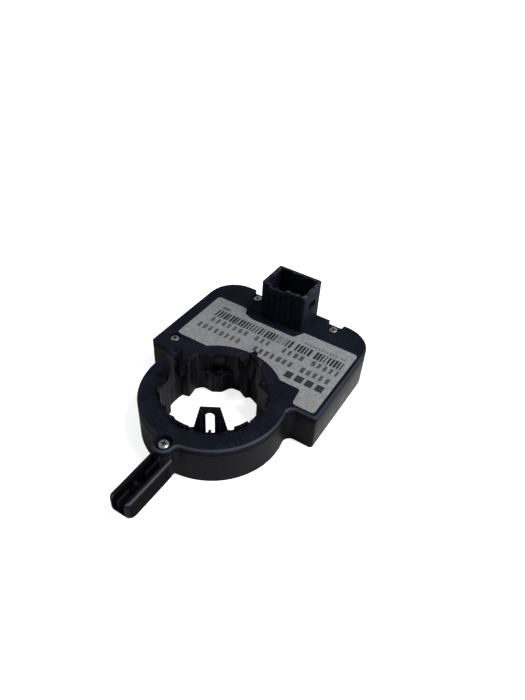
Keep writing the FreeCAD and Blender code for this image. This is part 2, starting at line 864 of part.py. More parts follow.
def main():
    os.makedirs("parts", exist_ok=True)
    nodes = {}
    nodes["housing_base"] = housing_base()
    nodes["top_cover"] = top_cover()
    nodes["rotor_hub"] = rotor_hub()
    for side, gear in zip(("left", "right"), small_gears()):
        centre = gear_centre(*gear)
        place = (centre.x, centre.y)
        nodes["measuring_gear_" + side] = measuring_gear(*gear)
        nodes["magnet_" + side] = magnet(*gear)
        sensor = chip(place, angle_chip_size, angle_chip_height, board_bottom, 4, True)
        nodes["angle_chip_" + side] = sensor
    nodes["circuit_board"] = circuit_board()
    nodes.update(board_parts())
    nodes["pin_header"] = pin_header()
    for index, place in enumerate(pin_places()):
        nodes["connector_pin_" + str(index + 1)] = pin(*place)
    for name, place in screw_places.items():
        nodes["screw_" + name] = screw(*place)
    nodes["label"] = label()
    for name, shape in nodes.items():
        shape.exportStep("parts/" + name + ".step")
        bounds = shape.BoundBox
        state = "valid" if shape.isValid() else "NOT VALID"
        print(name, state, len(shape.Solids), "solids", round(shape.Volume, 1), "mm3", bounds)


main()
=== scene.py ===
"""Looks of the steering angle sensor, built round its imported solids.

The file dresses the case, the turning hub, the connector, the label, the gears and the board. It models the
screws and the soft edges that the solids leave out, and sets up a plain studio at the photograph's angle.
"""

import json
import logging
import math
from dataclasses import dataclass
from enum import Enum
from typing import Any, Callable, Dict, List, Optional, Tuple, Union

import bpy
from mathutils import Matrix, Vector


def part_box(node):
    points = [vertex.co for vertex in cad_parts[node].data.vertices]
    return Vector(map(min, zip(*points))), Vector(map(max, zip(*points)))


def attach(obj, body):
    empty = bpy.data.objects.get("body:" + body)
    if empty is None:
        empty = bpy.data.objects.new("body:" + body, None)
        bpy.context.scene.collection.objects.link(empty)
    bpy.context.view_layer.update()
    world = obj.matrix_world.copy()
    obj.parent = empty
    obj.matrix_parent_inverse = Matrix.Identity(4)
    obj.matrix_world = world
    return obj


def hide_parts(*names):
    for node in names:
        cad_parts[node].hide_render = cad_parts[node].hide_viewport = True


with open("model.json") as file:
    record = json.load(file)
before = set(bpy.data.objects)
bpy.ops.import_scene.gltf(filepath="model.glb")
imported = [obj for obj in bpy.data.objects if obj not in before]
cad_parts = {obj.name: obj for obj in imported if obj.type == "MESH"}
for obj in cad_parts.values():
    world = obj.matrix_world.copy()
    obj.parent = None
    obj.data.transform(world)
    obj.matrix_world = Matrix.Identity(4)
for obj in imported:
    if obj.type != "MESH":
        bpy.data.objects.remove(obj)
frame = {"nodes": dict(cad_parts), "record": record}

LOG = logging.getLogger("sensor")
MM = 0.001
LEVEL_SLACK = 0.02
Colour = Tuple[float, float, float]
Triple = Tuple[float, float, float]
Span = Tuple[float, float]
Number = Union[float, "Shade"]


class Body(Enum):
    """The moving bodies that new pieces ride on."""

    CASE = "case"
    HUB = "hub"


class Element(Enum):
    """What is picked in a mesh."""

    FACE = "FACE"
    EDGE = "EDGE"


class Grain(Enum):
    """How coarse a moulded surface is, as its pattern's scale in 1/m and its height in metres."""

    SPARK_ERODED = (2600.0, 0.00005)
    SATIN = (3400.0, 0.00002)


class Shade:
    """A value that varies over a surface. Operators on it add Math nodes."""

    def __init__(self, recipe: "Recipe", socket: bpy.types.NodeSocket) -> None:
        """Wraps a socket.

        Args:
            recipe: The material that the socket belongs to.
            socket: An output socket with a number, colour or vector.
        """
        self.recipe = recipe
        self.socket = socket

    def __add__(self, other: Number) -> "Shade":
        """Returns the sum."""
        return self.recipe.maths("ADD", self, other)

    def __radd__(self, other: Number) -> "Shade":
        """Returns the sum."""
        return self.recipe.maths("ADD", other, self)

    def __sub__(self, other: Number) -> "Shade":
        """Returns the difference."""
        return self.recipe.maths("SUBTRACT", self, other)

    def __rsub__(self, other: Number) -> "Shade":
        """Returns the difference."""
        return self.recipe.maths("SUBTRACT", other, self)

    def __mul__(self, other: Number) -> "Shade":
        """Returns the product."""
        return self.recipe.maths("MULTIPLY", self, other)

    def __rmul__(self, other: Number) -> "Shade":
        """Returns the product."""
        return self.recipe.maths("MULTIPLY", other, self)

    def __truediv__(self, other: Number) -> "Shade":
        """Returns the quotient."""
        return self.recipe.maths("DIVIDE", self, other)

    def __rtruediv__(self, other: Number) -> "Shade":
        """Returns the quotient."""
        return self.recipe.maths("DIVIDE", other, self)

    def __gt__(self, other: Number) -> "Shade":
        """Returns 1 where this value is the larger, and 0 elsewhere."""
        return self.recipe.maths("GREATER_THAN", self, other)

    def __lt__(self, other: Number) -> "Shade":
        """Returns 1 where this value is the smaller, and 0 elsewhere."""
        return self.recipe.maths("LESS_THAN", self, other)

    def one_of(self, function: str) -> "Shade":
        """Applies a one-value function.

        Args:
            function: A Math node's operation, such as FLOOR, FRACT or ABSOLUTE.

        Returns:
            The function's value.
        """
        return self.recipe.maths(function, self)

    def between(self, low: float, high: float) -> "Shade":
        """Marks a range.

        Args:
            low: The range's lower end.
            high: The range's upper end.

        Returns:
            1 inside the range and 0 outside it.
        """
        return (self > low) * (self < high)

    def rising(self, start: float, end: float) -> "Shade":
        """Rises smoothly across a range.

        Args:
            start: Where the result is 0.
            end: Where the result is 1.

        Returns:
            A value from 0 to 1.
        """
        step = self.recipe.node(
            "ShaderNodeMapRange",
            {"interpolation_type": "SMOOTHSTEP"},
            {"Value": self, "From Min": start, "From Max": end},
        )
        return Shade(self.recipe, step.outputs["Result"])


Three = Tuple[Shade, Shade, Shade]


class Recipe:
    """One material under construction."""

    BEVEL_SAMPLES = 6

    def __init__(self, name: str) -> None:
        """Starts an empty material.

        Args:
            name: The material's name.
        """
        self.material = bpy.data.materials.new(name)
        self.material.use_nodes = True
        self.tree = self.material.node_tree
        self.tree.nodes.clear()
        self.output = self.node("ShaderNodeOutputMaterial")
        self._place: Optional[bpy.types.Node] = None
        self._axes: Optional[Three] = None
        self._facing: Optional[Three] = None

    def node(
        self,
        kind: str,
        settings: Optional[Dict[str, Any]] = None,
        inputs: Optional[Dict[Union[str, int], Any]] = None,
    ) -> bpy.types.Node:
        """Adds a node.

        Args:
            kind: The node's type name.
            settings: Its own settings, set before the inputs.
            inputs: Values or links for its input sockets, by name or number.

        Returns:
            The new node.
        """
        made = self.tree.nodes.new(kind)
        for key, setting in (settings or {}).items():
            setattr(made, key, setting)
        for key, given in (inputs or {}).items():
            self.feed(made.inputs[key], given)
        return made

    def feed(self, socket: bpy.types.NodeSocket, given: Any) -> None:
        """Sets or links an input socket.

        Args:
            socket: The input socket.
            given: A Shade, an output socket, a number, or a colour or vector.
        """
        if isinstance(given, Shade):
            self.tree.links.new(given.socket, socket)
        elif isinstance(given, bpy.types.NodeSocket):
            self.tree.links.new(given, socket)
        elif isinstance(given, tuple) and socket.type == "RGBA":
            socket.default_value = (*given[:3], 1.0)
        else:
            socket.default_value = given

    def maths(self, operation: str, *values: Number) -> Shade:
        """Adds a Math node.

        Args:
            operation: The node's operation.
            values: Its one to three values.

        Returns:
            The node's result.
        """
        inputs = {index: given for index, given in enumerate(values)}
        return Shade(self, self.node("ShaderNodeMath", {"operation": operation}, inputs).outputs[0])

    def mix(self, share: Number, first: Any, second: Any) -> Shade:
        """Mixes two colours.

        Args:
            share: 0 for the first colour, 1 for the second.
            first: A colour or a Shade with a colour.
            second: A colour or a Shade with a colour.

        Returns:
            The mixed colour.
        """
        made = self.node("ShaderNodeMix", {"data_type": "RGBA"}, {0: share, 6: first, 7: second})
        return Shade(self, made.outputs[2])

    def place(self, scale: Triple = (1.0, 1.0, 1.0)) -> Shade:
        """Gives the object coordinates.

        Args:
            scale: How much each axis is stretched.

        Returns:
            The coordinates in metres, times the scale.
        """
        if self._place is None:
            self._place = self.node("ShaderNodeTexCoord")
        here = self._place.outputs["Object"]
        if scale == (1.0, 1.0, 1.0):
            return Shade(self, here)
        mapping = self.node("ShaderNodeMapping", None, {"Vector": here, "Scale": scale})
        return Shade(self, mapping.outputs[0])

    def split(self, vector: Any) -> Three:
        """Splits a vector.

        Args:
            vector: A Shade or an output socket with a vector.

        Returns:
            Its three numbers.
        """
        parts = self.node("ShaderNodeSeparateXYZ", None, {0: vector}).outputs
        return Shade(self, parts[0]), Shade(self, parts[1]), Shade(self, parts[2])

    def axes(self) -> Three:
        """Gives the place on the object.

        Returns:
            The object coordinates in metres as three numbers.
        """
        if self._axes is None:
            self._axes = self.split(self.place())
        return self._axes

    def facing(self) -> Three:
        """Gives the surface's direction.

        Returns:
            The direction as three numbers.
        """
        if self._facing is None:
            geometry = self.node("ShaderNodeNewGeometry")
            self._facing = self.split(geometry.outputs["True Normal"])
        return self._facing

    def noise(self, scale: float, detail: float = 2.0, stretch: Triple = (1.0, 1.0, 1.0)) -> Shade:
        """Adds a noise pattern.

        Args:
            scale: Its scale in 1/m.
            detail: How many finer layers it has.
            stretch: How much each axis is stretched.

        Returns:
            A value from 0 to 1.
        """
        inputs = {"Vector": self.place(stretch), "Scale": scale, "Detail": detail}
        return Shade(self, self.node("ShaderNodeTexNoise", None, inputs).outputs["Fac"])

    def finish(
        self,
        surface: Dict[str, Any],
        height: Optional[Shade] = None,
        depth: float = 0.0,
        edge: float = 0.0,
    ) -> bpy.types.Material:
        """Closes the material with a Principled shader.

        Args:
            surface: Values or links of the shader's sockets.
            height: A pattern that raises the surface, from 0 to 1.
            depth: The pattern's height in metres.
            edge: The radius in metres by which edges look rounded.

        Returns:
            The finished material.
        """
        shader = self.node("ShaderNodeBsdfPrincipled", None, surface)
        normal = None
        if edge > 0:
            rounded = self.node("ShaderNodeBevel", {"samples": self.BEVEL_SAMPLES}, {"Radius": edge})
            normal = rounded.outputs[0]
        if height is not None:
            inputs = {"Height": height, "Distance": depth, "Strength": 1.0}
            if normal is not None:
                inputs["Normal"] = normal
            normal = self.node("ShaderNodeBump", None, inputs).outputs[0]
        if normal is not None:
            self.feed(shader.inputs["Normal"], normal)
        self.feed(self.output.inputs["Surface"], shader.outputs[0])
        return self.material


class MouldedLook:
    """A moulded surface under construction: its patterns, and its colour and roughness so far."""

    CLOUD_SCALE = 60.0
    SPECK_SHARE = 0.55

    def __init__(self, recipe: Recipe, plastic: "MouldedPlastic") -> None:
        """Starts with a cloudy and speckled plastic.

        Args:
            recipe: The material.
            plastic: The plastic's colours, grain and roughness.
        """
        grain_scale, _ = plastic.grain.value
        self.recipe = recipe
        self.cloud = recipe.noise(self.CLOUD_SCALE, 4.0)
        self.fine = recipe.noise(grain_scale, 3.0)
        self.speck = recipe.noise(grain_scale * self.SPECK_SHARE, 1.0)
        hazy = self.cloud.rising(0.35, 0.7) * 0.4 + self.speck.rising(0.42, 0.66) * 0.6
        self.base = recipe.mix(hazy, plastic.colour, plastic.haze)
        self.rough = plastic.roughness - self.cloud.rising(0.45, 0.8) * 0.10 + self.fine * 0.08
        self.coat: Optional[Shade] = None

    def lay(self, share: Shade, colour: Colour, rougher: float = 0.0) -> None:
        """Lays a colour over the surface.

        Args:
            share: How much of it, from 0 to 1.
            colour: The colour.
            rougher: What it adds to the roughness.
        """
        self.base = self.recipe.mix(share, self.base, colour)
        if rougher != 0.0:
            self.rough = self.rough + share * rougher


class Treatment:
    """Something that marks a moulded surface, or paints light or shade on it. Places are in metres."""

    def apply(self, look: MouldedLook) -> None:
        """Marks the surface.

        Args:
            look: The surface under construction.
        """
        raise NotImplementedError


@dataclass(frozen=True)
class Dust(Treatment):
    """Pale dust on what faces up."""

    amount: float
    colour: Colour = (0.25, 0.25, 0.25)

    def apply(self, look: MouldedLook) -> None:
        """Lays specks and patches of dust.

        Args:
            look: The surface under construction.
        """
        _, _, up = look.recipe.facing()
        patches = look.speck.rising(0.62, 0.72) + look.cloud.rising(0.55, 0.8) * 0.5
        look.lay(up.rising(0.6, 1.0) * patches * self.amount, self.colour)


@dataclass(frozen=True)
class Tint(Treatment):
    """Soft patches of another tone."""

    colour: Colour
    scale: float = 95.0
    amount: float = 0.7

    def apply(self, look: MouldedLook) -> None:
        """Lays the patches.

        Args:
            look: The surface under construction.
        """
        look.lay(look.recipe.noise(self.scale, 3.0).rising(0.42, 0.62) * self.amount, self.colour)


@dataclass(frozen=True)
class PaintedReflectionStreaks(Treatment):
    """Upright paler streaks, painted to stand for streaks of reflection on the walls."""

    colour: Colour
    scale: float = 430.0
    upright: float = 0.04
    amount: float = 0.8

    def apply(self, look: MouldedLook) -> None:
        """Lays the streaks.

        Args:
            look: The surface under construction.
        """
        # Painted reflection: paler streaks stretched upright.
        streak = look.recipe.noise(self.scale, 2.0, (1.0, 1.0, self.upright)).rising(0.50, 0.66)
        look.lay(streak * self.amount, self.colour)


@dataclass(frozen=True)
class PaintedEdgeHighlight(Treatment):
    """Edges painted pale as a highlight, mostly those that face the front, and made smoother."""

    colour: Colour
    sideways: float = 0.35
    ahead: float = 0.8
    least: float = 0.15
    fade_left: float = 0.022
    smoother: float = 0.26

    def apply(self, look: MouldedLook) -> None:
        """Paints a highlight on the slopes between the walls and the top, and makes them smoother.

        Args:
            look: The surface under construction.
        """
        outward, ahead, up = look.recipe.facing()
        across, _, _ = look.recipe.axes()
        # Painted highlight: a paler colour on the edge slopes, strongest where they face the front and the
        # right.
        front = (outward * self.sideways - ahead * self.ahead).rising(0.05, 0.45)
        toward = front * across.rising(-self.fade_left, 0.0)
        slope = up.rising(0.52, 0.80) * (1.0 - up.rising(0.94, 0.995))
        rim = slope * (0.35 + look.cloud * 1.1) * (toward * (1.0 - self.least) + self.least)
        look.lay(rim, self.colour, -self.smoother)


@dataclass(frozen=True)
class WornRim(Treatment):
    """Pale scuffs above a level."""

    level: float
    blend: float = 0.0009
    colour: Colour = (0.070, 0.070, 0.084)
    scale: float = 620.0
    amount: float = 0.8
    rougher: float = 0.25

    def apply(self, look: MouldedLook) -> None:
        """Lays the scuffs.

        Args:
            look: The surface under construction.
        """
        _, _, height = look.recipe.axes()
        high = height.rising(self.level - self.blend, self.level)
        chips = look.recipe.noise(self.scale, 3.0).rising(0.50, 0.64) * high
        look.lay(chips * self.amount, self.colour, self.rougher)


@dataclass(frozen=True)
class PaintedArmShade(Treatment):
    """Painted shade on the arm's outer wall, which faces right: darker and rougher between its two edges.
    """

    amount: float = 0.9
    foot: Span = (0.0036, 0.0058)
    brow: Span = (0.0120, 0.0134)
    root: Span = (-0.040, -0.036)
    colour: Colour = (0.0008, 0.0008, 0.0012)
    rougher: float = 0.45

    def apply(self, look: MouldedLook) -> None:
        """Paints the shade on the wall.

        Args:
            look: The surface under construction.
        """
        outward, _, _ = look.recipe.facing()
        _, along, level = look.recipe.axes()
        # Painted shade: the right-facing arm wall is darkened, less so near its top and its foot.
        edges = level.rising(*self.brow) * 0.5 + (1.0 - level.rising(*self.foot))
        wall = outward.rising(0.75, 0.97) * (1.0 - along.rising(*self.root)) * (1.0 - edges)
        look.lay(wall * self.amount, self.colour, self.rougher)


@dataclass(frozen=True)
class SeamLine(Treatment):
    """The dark line on the walls where the case's halves meet."""

    level: float
    half_width: float = 0.00022
    colour: Colour = (0.0004, 0.0004, 0.0006)
    rougher: float = 0.4

    def apply(self, look: MouldedLook) -> None:
        """Draws the line.

        Args:
            look: The surface under construction.
        """
        _, _, height = look.recipe.axes()
        _, _, up = look.recipe.facing()
        line = height.between(self.level - self.half_width, self.level + self.half_width)
        look.lay(line * (up.one_of("ABSOLUTE") < 0.3), self.colour, self.rougher)


@dataclass(frozen=True)
class PaintedSideSheen(Treatment):
    """A painted sheen on the right-facing walls, which grows to the back and to the foot."""

    weight: float
    along: Span = (-0.004, 0.036)
    levels: Span = (0.004, 0.0165)
    fade: float = 0.92
    scale: float = 160.0

    def apply(self, look: MouldedLook) -> None:
        """Lays the painted sheen as a coat.

        Args:
            look: The surface under construction.
        """
        outward, _, _ = look.recipe.facing()
        _, along, level = look.recipe.axes()
        patchy = look.recipe.noise(self.scale, 3.0).rising(0.3, 0.7) * 0.35 + 0.65
        # Painted sheen: a coat only on faces that look right, weaker towards the top.
        shine = outward.rising(0.8, 0.98) * along.rising(*self.along) * patchy
        look.coat = shine * (1.0 - level.rising(*self.levels) * self.fade) * self.weight


@dataclass(frozen=True)
class MouldedPlastic:
    """Black or coloured plastic as it comes out of a mould, what has marked it since, and painted
    highlights, sheen and shade.
    """

    name: str
    colour: Colour
    haze: Colour
    roughness: float = 0.5
    gloss: float = 0.2
    grain: Grain = Grain.SATIN
    edge: float = 0.00025
    treatments: Tuple[Treatment, ...] = ()
    coat_roughness: float = 0.38

    def material(self) -> bpy.types.Material:
        """Builds the material.

        Returns:
            A plastic with cloudy colour, fine grain and its treatments.
        """
        recipe = Recipe(self.name)
        _, depth = self.grain.value
        look = MouldedLook(recipe, self)
        for treatment in self.treatments:
            treatment.apply(look)
        surface = {
            "Base Color": look.base,
            "Roughness": look.rough,
            "Specular IOR Level": self.gloss,
        }
        if look.coat is not None:
            surface["Coat Weight"] = look.coat
            surface["Coat Roughness"] = self.coat_roughness
        return recipe.finish(surface, look.fine + look.cloud * 0.4, depth, self.edge)


@dataclass(frozen=True)
class PlatedMetal:
    """Bright plated or sintered metal."""

    name: str
    colour: Colour
    stain: Colour
    roughness: float = 0.28

    def material(self) -> bpy.types.Material:
        """Builds the material.

        Returns:
            A metal with slight tarnish and fine scratches.
        """
        recipe = Recipe(self.name)
        tarnish = recipe.noise(700.0, 4.0).rising(0.5, 0.75)
        scratch = recipe.noise(2400.0, 2.0, (1.0, 0.12, 1.0))
        surface = {
            "Base Color": recipe.mix(tarnish * 0.5, self.colour, self.stain),
            "Metallic": 1.0,
            "Roughness": self.roughness + tarnish * 0.16 + scratch * 0.08,
        }
        return recipe.finish(surface, scratch, 0.00002, 0.0001)


@dataclass(frozen=True)
class PrintedRow:
    """One row of generic marks on the label, with its place and pitch in millimetres.

    A mark reaches from start to width, or up to spread more, as shares of the pitch. The share gaps of the
    marks is left out, and tone is how dark the ink is.
    """

    low: float
    high: float
    left: float
    right: float
    pitch: float
    width: float
    spread: float
    gaps: float
    seed: float
    tone: float
    start: float = 0.12


# In each row: low, high, left, right, pitch, width, spread, gaps, seed and tone.
PRINTED_ROWS: Tuple[PrintedRow, ...] = (
    PrintedRow(43.3, 48.7, -33.0, 4.6, 1.7, 0.46, 0.46, 0.05, 3.0, 1.0),
    PrintedRow(43.3, 48.7, 4.6, 9.8, 1.7, 0.46, 0.46, 0.05, 5.0, 0.45),
    PrintedRow(43.3, 48.7, 9.8, 39.5, 1.7, 0.46, 0.46, 0.05, 3.0, 1.0),
    PrintedRow(38.6, 42.1, -32.3, 3.6, 3.2, 0.52, 0.22, 0.08, 17.0, 0.72),
    PrintedRow(38.6, 42.1, 9.5, 40.0, 3.1, 0.55, 0.22, 0.03, 29.0, 0.80),
    PrintedRow(31.8, 35.4, -33.5, -5.6, 3.2, 0.52, 0.22, 0.08, 41.0, 0.72),
    PrintedRow(31.8, 35.4, -2.7, 40.1, 3.2, 0.55, 0.22, 0.05, 53.0, 0.80),
    PrintedRow(50.2, 51.6, 17.5, 38.8, 1.5, 0.50, 0.25, 0.12, 61.0, 0.65),
    PrintedRow(50.0, 51.8, -31.8, -26.0, 5.6, 0.92, 0.02, 0.0, 67.0, 0.65),
    PrintedRow(25.4, 29.6, 19.0, 39.7, 5.2, 0.80, 0.08, 0.0, 71.0, 0.95),
)


@dataclass(frozen=True)
class LabelFoil:
    """Silver-grey label foil with rows of plain dashes, a strip of bars and round stains in millimetres."""

    name: str = "label_foil"
    ground: Colour = (0.180, 0.186, 0.196)
    bright: Colour = (0.292, 0.296, 0.308)
    shaded: Colour = (0.150, 0.158, 0.168)
    ink: Colour = (0.012, 0.013, 0.017)
    stain: Colour = (0.24, 0.205, 0.14)
    stains: Tuple[Triple, ...] = ((37.8, 18.2, 5.0), (-13.2, 32.1, 6.0), (33.0, 16.0, 4.0))

    def marks(self, recipe: Recipe, row: PrintedRow) -> Shade:
        """Draws one row.

        Args:
            recipe: The label's material.
            row: The row.

        Returns:
            The row's tone on its marks and 0 elsewhere.
        """
        x, y, _ = recipe.axes()
        cell = (x + 1.0) / (row.pitch * MM)
        seed = cell.one_of("FLOOR") + row.seed
        drawn = recipe.node("ShaderNodeTexWhiteNoise", {"noise_dimensions": "1D"}, {"W": seed})
        chance = Shade(recipe, drawn.outputs["Value"])
        part = cell.one_of("FRACT")
        ends = (part > row.start) * (part < row.width + chance * row.spread)
        here = y.between(row.low * MM, row.high * MM) * x.between(row.left * MM, row.right * MM)
        return ends * here * (chance > row.gaps) * row.tone

    def blotch(self, recipe: Recipe, place: Triple) -> Shade:
        """Draws one round stain.

        Args:
            recipe: The label's material.
            place: The stain's middle and radius in millimetres.

        Returns:
            1 in the stain's middle, falling to 0 at its edge.
        """
        x, y, _ = recipe.axes()
        across = x - place[0] * MM
        along = y - place[1] * MM
        reach = recipe.maths("SQRT", across * across + along * along)
        return 1.0 - reach.rising(0.2 * place[2] * MM, place[2] * MM)

    def material(self) -> bpy.types.Material:
        """Builds the material.

        Returns:
            A satin foil with speckle, faint stains and generic marks.
        """
        recipe = Recipe(self.name)
        speckle = recipe.noise(1500.0, 3.0)
        patch = recipe.noise(90.0, 3.0)
        worn = recipe.noise(420.0, 3.0).rising(0.66, 0.78)
        across, _, _ = recipe.axes()
        base = recipe.mix(speckle.rising(0.35, 0.7), self.ground, self.bright)
        # Painted shade: the foil is darker towards its left side.
        base = recipe.mix((1.0 - across.rising(-0.036, 0.030)) * 0.12, base, self.shaded)
        spots = patch.rising(0.62, 0.8) * 0.3
        for place in self.stains:
            spots = recipe.maths("MAXIMUM", spots, self.blotch(recipe, place) * (0.10 + patch * 0.45))
        base = recipe.mix(spots, base, self.stain)
        printed = self.marks(recipe, PRINTED_ROWS[0])
        for row in PRINTED_ROWS[1:]:
            printed = recipe.maths("MAXIMUM", printed, self.marks(recipe, row))
        base = recipe.mix(printed * (1.0 - worn * 0.5), base, self.ink)
        surface = {
            "Base Color": base,
            "Roughness": 0.42 + speckle * 0.15,
            "Specular IOR Level": 0.25,
        }
        return recipe.finish(surface, speckle, 0.00003, 0.0)


@dataclass(frozen=True)
class BoardLaminate:
    """Green solder mask over copper tracks."""

    name: str = "board_laminate"
    mask: Colour = (0.012, 0.075, 0.030)
    track: Colour = (0.03, 0.17, 0.06)
    grid: float = 400.0
    track_share: float = 0.3

    def material(self) -> bpy.types.Material:
        """Builds the material.

        Returns:
            Solder mask with faint tracks on a square grid.
        """
        recipe = Recipe(self.name)
        x, y, _ = recipe.axes()
        across = ((x * self.grid).one_of("FRACT") < self.track_share) * (recipe.noise(110.0) > 0.52)
        along = ((y * self.grid).one_of("FRACT") < self.track_share) * (recipe.noise(140.0) > 0.55)
        tracks = recipe.maths("MAXIMUM", across, along)
        surface = {
            "Base Color": recipe.mix(tracks * 0.8, self.mask, self.track),
            "Roughness": 0.35 + recipe.noise(900.0) * 0.1,
        }
        return recipe.finish(surface, tracks, 0.00003)


class Palette:
    """The finishes by the record's material slots."""

    SEAM_LEVEL = 0.0165
    SHROUD_RIM = 0.0392

    def __init__(self) -> None:
        """Builds every finish once."""
        finishes = (self.cover(), self.base(), self.hub(), *self.small_mouldings(), *self.metals())
        self.by_slot: Dict[str, bpy.types.Material] = {part.name: part.material() for part in finishes}
        for sheet in (LabelFoil(), BoardLaminate()):
            self.by_slot[sheet.name] = sheet.material()

    def cover(self) -> MouldedPlastic:
        """Describes the cover.

        Returns:
            A fine-grained blue-black plastic.
        """
        return MouldedPlastic(
            "cover_plastic",
            colour=(0.0030, 0.0042, 0.0084),
            haze=(0.0120, 0.0142, 0.0248),
            roughness=0.54,
            gloss=0.04,
            grain=Grain.SPARK_ERODED,
            edge=0.0003,
            treatments=(
                Dust(0.03),
                Tint((0.0048, 0.0072, 0.0110)),
                PaintedEdgeHighlight((0.056, 0.057, 0.078)),
                WornRim(self.SHROUD_RIM),
                SeamLine(self.SEAM_LEVEL),
                PaintedSideSheen(0.12),
            ),
        )

    def base(self) -> MouldedPlastic:
        """Describes the base.

        Returns:
            A smooth grey-black plastic.
        """
        return MouldedPlastic(
            "base_plastic",
            colour=(0.0040, 0.0037, 0.0056),
            haze=(0.0066, 0.0062, 0.0086),
            roughness=0.44,
            gloss=0.08,
            edge=0.0003,
            treatments=(
                Dust(0.02),
                Tint((0.0050, 0.0042, 0.0062)),
                PaintedEdgeHighlight((0.060, 0.057, 0.076), sideways=0.7),
                PaintedArmShade(),
                SeamLine(self.SEAM_LEVEL),
                PaintedSideSheen(0.60),
            ),
        )

    def hub(self) -> MouldedPlastic:
        """Describes the hub.

        Returns:
            A black plastic with painted streaks of reflection and painted edge highlights.
        """
        return MouldedPlastic(
            "hub_plastic",
            colour=(0.0016, 0.0013, 0.0026),
            haze=(0.0038, 0.0032, 0.0052),
            roughness=0.34,
            gloss=0.11,
            edge=0.0002,
            treatments=(
                PaintedReflectionStreaks((0.0200, 0.0178, 0.0255)),
                PaintedEdgeHighlight((0.018, 0.017, 0.021)),
            ),
        )

    @staticmethod
    def small_mouldings() -> Tuple[MouldedPlastic, ...]:
        """Describes the mouldings inside.

        Returns:
            Their plastics.
        """
        return (
            MouldedPlastic("header_plastic", (0.004, 0.004, 0.005), (0.008, 0.008, 0.009), 0.5, 0.2),
            MouldedPlastic("gear_plastic", (0.62, 0.60, 0.53), (0.70, 0.68, 0.62), 0.4, 0.4),
            MouldedPlastic("chip_plastic", (0.012, 0.012, 0.012), (0.03, 0.03, 0.03), 0.55, 0.3),
            MouldedPlastic("capacitor_body", (0.40, 0.22, 0.06), (0.50, 0.30, 0.10), 0.4, 0.4),
        )

    @staticmethod
    def metals() -> Tuple[PlatedMetal, ...]:
        """Describes the metals.

        Returns:
            The metals, with the dark one that paints shade in the screws' recesses.
        """
        return (
            PlatedMetal("screw_steel", (0.52, 0.52, 0.53), (0.28, 0.27, 0.25), 0.22),
            PlatedMetal("pin_metal", (0.30, 0.28, 0.24), (0.18, 0.16, 0.12), 0.35),
            PlatedMetal("magnet_metal", (0.2, 0.2, 0.21), (0.1, 0.1, 0.1), 0.5),
            PlatedMetal("recess_painted_shade", (0.035, 0.036, 0.042), (0.02, 0.02, 0.02), 0.4),
            PlatedMetal("crystal_can", (0.55, 0.55, 0.56), (0.4, 0.4, 0.4), 0.3),
        )

    def paint(self, obj: bpy.types.Object, slot: str) -> None:
        """Gives an object one of the finishes.

        Args:
            obj: The object.
            slot: The record's material slot.
        """
        obj.data.materials.clear()
        obj.data.materials.append(self.by_slot[slot])


class Bench:
    """Modelling steps that several sub-assemblies share."""

    @staticmethod
    def clear() -> None:
        """Deselects everything and leaves edit mode."""
        if bpy.context.object is not None and bpy.context.object.mode != "OBJECT":
            bpy.ops.object.mode_set(mode="OBJECT")
        bpy.ops.object.select_all(action="DESELECT")

    @staticmethod
    def take(obj: bpy.types.Object) -> None:
        """Makes an object the only selected one.

        Args:
            obj: The object.
        """
        Bench.clear()
        obj.select_set(True)
        bpy.context.view_layer.objects.active = obj

    @staticmethod
    def pick(obj: bpy.types.Object, kind: Element, test: Callable[[Any], bool]) -> int:
        """Selects parts of a mesh, in object mode, then returns to edit mode.

        Args:
            obj: The active object, in edit mode.
            kind: What is picked.
            test: Says whether a polygon or an edge is wanted.

        Returns:
            How many were selected.
        """
        bpy.ops.mesh.select_mode(type=kind.value)
        bpy.ops.mesh.select_all(action="DESELECT")
        bpy.ops.object.mode_set(mode="OBJECT")
        parts = obj.data.polygons if kind is Element.FACE else obj.data.edges
        count = 0
        for part in parts:
            wanted = bool(test(part))
            part.select = wanted
            count += wanted
        bpy.ops.object.mode_set(mode="EDIT")
        return count

    @staticmethod
    def settle(
        obj: bpy.types.Object,
        name: str,
        body: Body,
        slot: str,
        palette: Palette,
        angle: float = 35.0,
    ) -> bpy.types.Object:
        """Finishes a new piece.

        Args:
            obj: The piece.
            name: Its name.
            body: The body that it rides on.
            slot: Its material slot.
            palette: The finishes.
            angle: The angle in degrees above which an edge stays sharp.

        Returns:
            The piece.
        """
        obj.name = name
        obj.data.name = name
        Bench.take(obj)
        bpy.ops.object.transform_apply(location=True, rotation=True, scale=True)
        bpy.ops.object.shade_smooth_by_angle(angle=math.radians(angle))
        obj.select_set(False)
        palette.paint(obj, slot)
        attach(obj, body.value)
        return obj


@dataclass(frozen=True)
class Softening:
    """Which edges of a solid are rounded, and by how much in millimetres."""

    radius: float
    test: Callable[[Vector, Vector], bool]
    steps: int = 2


def at_level(corner: Vector, height: float) -> bool:
    """Tells whether a corner is at a height, within the slack, all in millimetres."""
    return abs(corner.z - height) < LEVEL_SLACK


